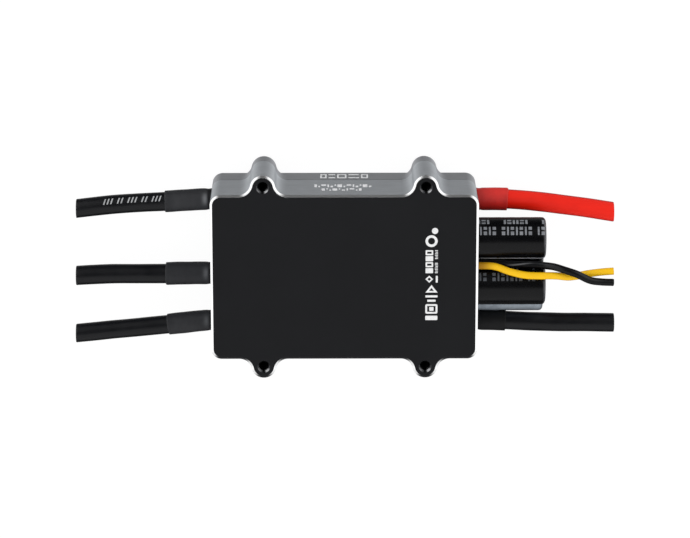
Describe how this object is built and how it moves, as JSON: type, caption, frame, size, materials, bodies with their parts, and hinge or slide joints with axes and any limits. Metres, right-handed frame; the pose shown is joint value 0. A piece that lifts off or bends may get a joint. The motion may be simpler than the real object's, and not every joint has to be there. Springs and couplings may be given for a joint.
{
  "type": "electronic speed controller",
  "caption": "Motor speed controller in an eared aluminium case with a plain black cover and a finned heat sink, motor leads at one end, battery leads, capacitors and a signal pair at the other.",
  "frame": {"origin": "under the centre of the four ear holes, on the plane of the heat-sink fin tips", "axes": "+X along the case towards the battery leads, +Y across the case, +Z the outward normal of the black cover; the case rests on its fins"},
  "size_m": [0.1048, 0.04, 0.0179],
  "materials": {
    "black_anodised": "fine matt black anodised aluminium with bright cut edges and bead-blasted grey walls",
    "machined_aluminium": "fine-milled grey aluminium, satin",
    "screw_steel": "blackened steel, satin",
    "circuit_board": "glass-epoxy laminate with green mask",
    "chip_plastic": "moulded epoxy, matt",
    "shunt_metal": "alloy strip, satin",
    "thermal_silicone": "soft gap-filler pad, matt",
    "ferrite": "pressed powder, matt",
    "copper": "tinned and bare copper, satin",
    "capacitor_sleeve": "heat-shrunk vinyl film, glossy",
    "silicone_black": "soft silicone insulation, satin",
    "silicone_red": "soft silicone insulation, satin",
    "shrink_black": "heat-shrunk polyolefin, satin, slightly wrinkled",
    "shrink_red": "heat-shrunk polyolefin, satin, slightly wrinkled",
    "pvc_yellow": "thin insulation, semi-gloss",
    "pvc_black": "thin insulation, semi-gloss"
  },
  "bodies": {
    "controller": {"main_shell": "black_anodised", "heatsink_lid": "machined_aluminium", "case_screw_1": "screw_steel", "case_screw_2": "screw_steel", "case_screw_3": "screw_steel", "case_screw_4": "screw_steel", "power_board": "circuit_board", "control_board": "circuit_board", "capacitor_board": "circuit_board", "board_header": "chip_plastic", "thermal_pad": "thermal_silicone", "mosfet_1": "chip_plastic", "mosfet_2": "chip_plastic", "mosfet_3": "chip_plastic", "mosfet_4": "chip_plastic", "mosfet_5": "chip_plastic", "mosfet_6": "chip_plastic", "microcontroller": "chip_plastic", "gate_driver": "chip_plastic", "regulator_inductor": "ferrite", "current_shunt": "shunt_metal", "busbar_positive": "copper", "busbar_negative": "copper", "capacitor_1": "capacitor_sleeve", "capacitor_2": "capacitor_sleeve", "capacitor_3": "capacitor_sleeve", "capacitor_4": "capacitor_sleeve", "motor_lead_1_sleeve": "shrink_black", "motor_lead_1_inner_jacket": "silicone_black", "motor_lead_1_inner_core": "copper", "motor_lead_2_sleeve": "shrink_black", "motor_lead_2_inner_jacket": "silicone_black", "motor_lead_2_inner_core": "copper", "motor_lead_3_sleeve": "shrink_black", "motor_lead_3_inner_jacket": "silicone_black", "motor_lead_3_inner_core": "copper", "positive_lead_sleeve": "shrink_red", "positive_lead_inner_jacket": "silicone_red", "positive_lead_inner_core": "copper", "negative_lead_sleeve": "shrink_black", "negative_lead_inner_jacket": "silicone_black", "negative_lead_inner_core": "copper", "signal_wire_inner": "pvc_yellow", "ground_wire_inner": "pvc_black"},
    "motor_lead_1_end": {"motor_lead_1_outer_jacket": "silicone_black", "motor_lead_1_outer_core": "copper"},
    "motor_lead_2_end": {"motor_lead_2_outer_jacket": "silicone_black", "motor_lead_2_outer_core": "copper"},
    "motor_lead_3_end": {"motor_lead_3_outer_jacket": "silicone_black", "motor_lead_3_outer_core": "copper"},
    "positive_lead_end": {"positive_lead_outer_jacket": "silicone_red", "positive_lead_outer_core": "copper"},
    "negative_lead_end": {"negative_lead_outer_jacket": "silicone_black", "negative_lead_outer_core": "copper"},
    "signal_pair_end": {"signal_wire_outer": "pvc_yellow", "ground_wire_outer": "pvc_black"}
  },
  "joints": [
    {"name": "motor_lead_1_flex", "type": "hinge", "parent": "controller", "child": "motor_lead_1_end", "pos_m": [-0.03595, 0.0117, 0.005], "axis": [0, 1, 0], "range_deg": [-10, 40]},
    {"name": "motor_lead_2_flex", "type": "hinge", "parent": "controller", "child": "motor_lead_2_end", "pos_m": [-0.03598, -0.0027, 0.005], "axis": [0, 1, 0], "range_deg": [-10, 40]},
    {"name": "motor_lead_3_flex", "type": "hinge", "parent": "controller", "child": "motor_lead_3_end", "pos_m": [-0.03575, -0.01311, 0.005], "axis": [0, 1, 0], "range_deg": [-10, 40]},
    {"name": "positive_lead_flex", "type": "hinge", "parent": "controller", "child": "positive_lead_end", "pos_m": [0.03292, 0.01203, 0.005], "axis": [0, -1, 0], "range_deg": [-10, 40]},
    {"name": "negative_lead_flex", "type": "hinge", "parent": "controller", "child": "negative_lead_end", "pos_m": [0.03257, -0.01231, 0.005], "axis": [0, -1, 0], "range_deg": [-10, 40]},
    {"name": "signal_pair_flex", "type": "hinge", "parent": "controller", "child": "signal_pair_end", "pos_m": [0.0272, 0.0018, 0.0147], "axis": [0, -1, 0], "range_deg": [0, 35]}
  ]
}
